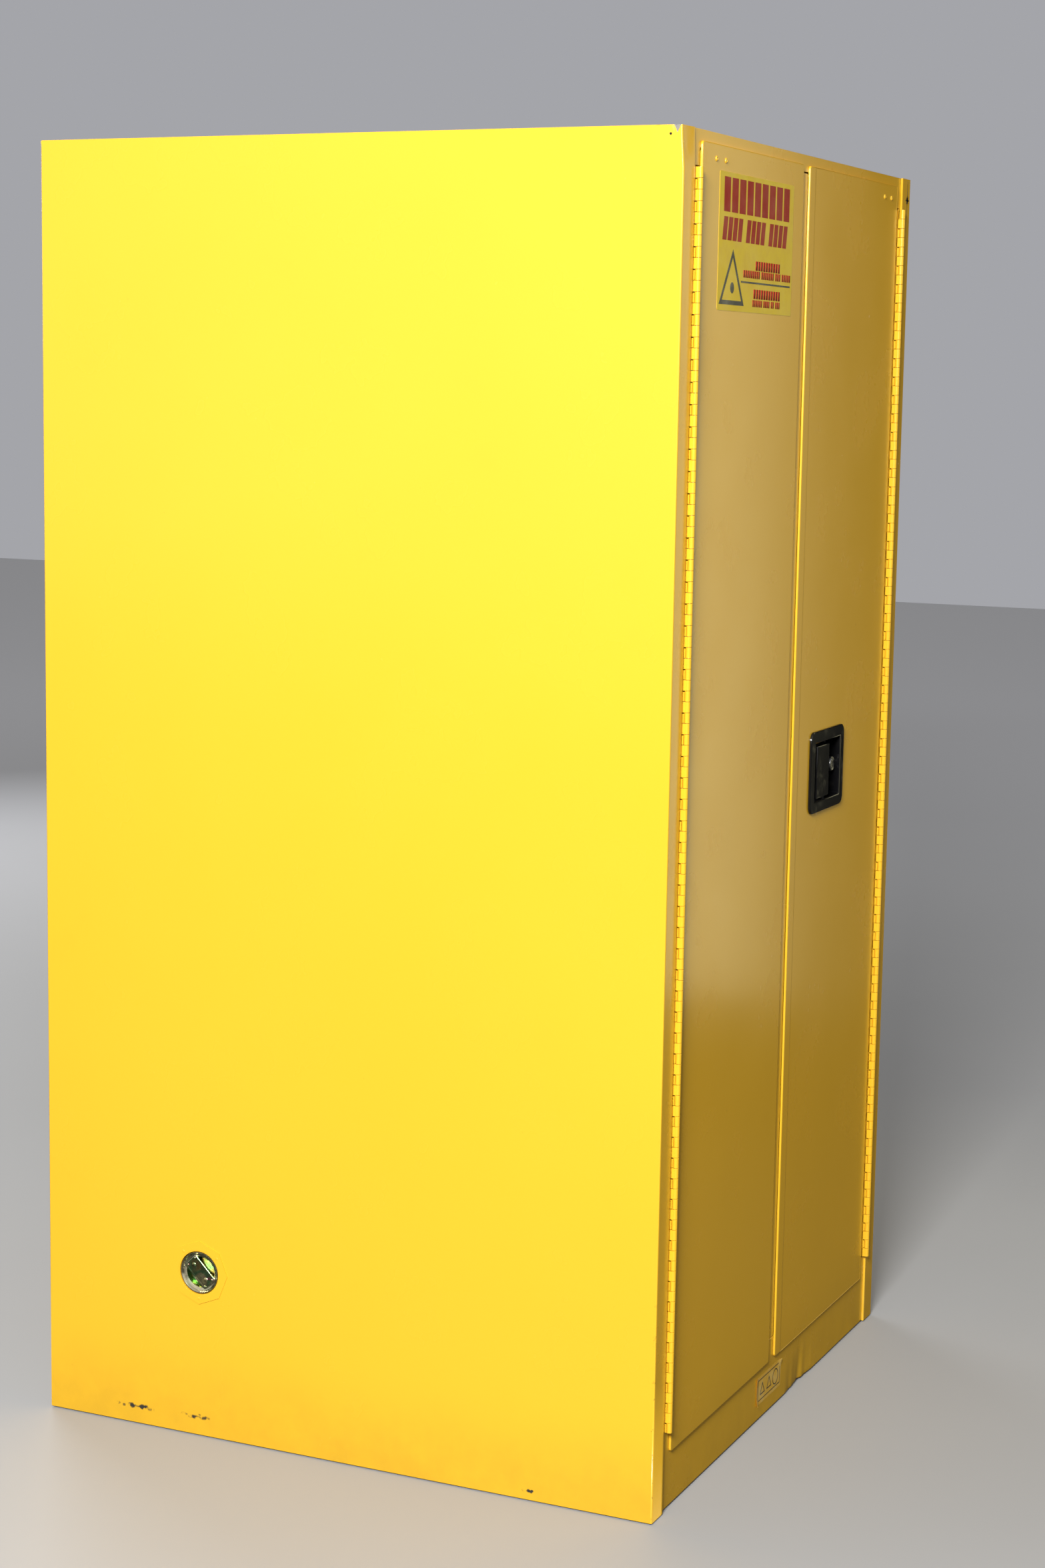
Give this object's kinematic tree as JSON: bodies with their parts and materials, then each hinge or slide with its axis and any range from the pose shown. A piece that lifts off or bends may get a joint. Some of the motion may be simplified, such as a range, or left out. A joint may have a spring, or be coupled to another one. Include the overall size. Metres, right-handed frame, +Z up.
{
  "type": "flammable liquid safety cabinet",
  "caption": "Double-walled steel storage cabinet for flammable liquids, with hinged doors, a recessed paddle handle, a rod latch, side vents and lift-out shelves.",
  "frame": {"origin": "middle of the footprint, on the floor", "axes": "+Z up, the doors face -Y, +X towards the door with the handle"},
  "size_m": [0.8662, 0.8788, 1.651],
  "materials": {
    "yellow_paint": "glossy",
    "galvanised_steel": "satin",
    "plain_steel": "satin",
    "chromated_steel": "satin",
    "black_handle": "glossy",
    "brass_gauze": "matte",
    "lock_chrome": "polished",
    "black_rubber": "matte"
  },
  "bodies": {
    "cabinet": {"left_side_panel": "yellow_paint", "right_side_panel": "yellow_paint", "back_panel": "yellow_paint", "top_panel": "yellow_paint", "header_rail": "yellow_paint", "kick_rail": "yellow_paint", "base_pan": "yellow_paint", "left_jamb": "yellow_paint", "right_jamb": "yellow_paint", "left_lining_wall": "yellow_paint", "right_lining_wall": "yellow_paint", "rear_lining_wall": "yellow_paint", "lining_roof": "yellow_paint", "sump_tray": "yellow_paint", "ground_stud": "chromated_steel", "left_bracket_lower": "galvanised_steel", "right_bracket_lower": "galvanised_steel", "left_bracket_upper": "galvanised_steel", "right_bracket_upper": "galvanised_steel", "foot_left_front": "black_rubber", "foot_left_rear": "black_rubber", "foot_right_front": "black_rubber", "foot_right_rear": "black_rubber", "left_vent_housing": "yellow_paint", "right_vent_housing": "yellow_paint", "left_flame_screen": "brass_gauze", "right_flame_screen": "brass_gauze", "left_hinge_frame_leaf": "yellow_paint", "right_hinge_frame_leaf": "yellow_paint", "left_hinge_pin": "plain_steel", "right_hinge_pin": "plain_steel"},
    "left_door": {"left_door_face": "yellow_paint", "left_door_tray": "yellow_paint", "left_door_channel": "yellow_paint", "left_stay_bracket": "galvanised_steel", "left_hinge_door_leaf": "yellow_paint"},
    "right_door": {"right_door_face_lower": "yellow_paint", "right_door_face_middle": "yellow_paint", "right_door_face_upper": "yellow_paint", "right_door_tray": "yellow_paint", "right_door_channel": "yellow_paint", "right_stay_bracket": "galvanised_steel", "right_hinge_door_leaf": "yellow_paint", "handle_dish": "black_handle", "paddle_pin": "plain_steel", "paddle_spring": "plain_steel", "lock_housing": "lock_chrome", "latch_spindle": "plain_steel", "upper_rod_guide": "black_handle", "lower_rod_guide": "black_handle"},
    "paddle": {"paddle": "black_handle"},
    "lock_plug": {"lock_plug": "lock_chrome"},
    "latch_cam": {"latch_cam": "plain_steel"},
    "upper_rod": {"upper_rod": "galvanised_steel"},
    "lower_rod": {"lower_rod": "galvanised_steel"},
    "latch_bolt": {"latch_bolt": "plain_steel"},
    "left_vent_bung": {"left_vent_bung": "chromated_steel"},
    "right_vent_bung": {"right_vent_bung": "chromated_steel"},
    "shelf_lower": {"shelf_lower": "galvanised_steel"},
    "shelf_upper": {"shelf_upper": "galvanised_steel"}
  },
  "joints": [
    {"name": "left_door_swing", "type": "hinge", "parent": "cabinet", "child": "left_door", "pos_m": [-0.389, -0.4353, 0.855], "axis": [0, 0, -1], "range_deg": [0, 170]},
    {"name": "right_door_swing", "type": "hinge", "parent": "cabinet", "child": "right_door", "pos_m": [0.389, -0.4353, 0.855], "axis": [0, 0, 1], "range_deg": [0, 170]},
    {"name": "paddle_pull", "type": "hinge", "parent": "right_door", "child": "paddle", "pos_m": [0.098, -0.4258, 0.8525], "axis": [0, 0, -1], "range_deg": [0, 35], "stiffness_Nm_per_rad": 0.3, "springref_deg": -5.73},
    {"name": "lock_turn", "type": "hinge", "parent": "right_door", "child": "lock_plug", "pos_m": [0.176, -0.4208, 0.856], "axis": [0, 1, 0], "range_deg": [0, 90]},
    {"name": "latch_turn", "type": "hinge", "parent": "right_door", "child": "latch_cam", "pos_m": [0.048, -0.3993, 0.854], "axis": [0, -1, 0], "range_deg": [0, 45]},
    {"name": "upper_rod_slide", "type": "slide", "parent": "right_door", "child": "upper_rod", "axis": [0, 0, 1], "range_m": [0, 0.0155]},
    {"name": "lower_rod_slide", "type": "slide", "parent": "right_door", "child": "lower_rod", "axis": [0, 0, -1], "range_m": [0, 0.0155]},
    {"name": "bolt_slide", "type": "slide", "parent": "right_door", "child": "latch_bolt", "axis": [-1, 0, 0], "range_m": [0, 0.0155]},
    {"name": "left_bung_out", "type": "slide", "parent": "cabinet", "child": "left_vent_bung", "axis": [-1, 0, 0], "range_m": [0, 0.03]},
    {"name": "right_bung_out", "type": "slide", "parent": "cabinet", "child": "right_vent_bung", "axis": [1, 0, 0], "range_m": [0, 0.03]},
    {"name": "shelf_lower_lift", "type": "slide", "parent": "cabinet", "child": "shelf_lower", "axis": [0, 0, 1], "range_m": [0, 0.04]},
    {"name": "shelf_upper_lift", "type": "slide", "parent": "cabinet", "child": "shelf_upper", "axis": [0, 0, 1], "range_m": [0, 0.04]}
  ],
  "couplings": [
    {"joint": "upper_rod_slide", "follows": "latch_turn", "m_per_rad": 0.01949},
    {"joint": "lower_rod_slide", "follows": "latch_turn", "m_per_rad": 0.01949},
    {"joint": "bolt_slide", "follows": "latch_turn", "m_per_rad": 0.01949}
  ]
}
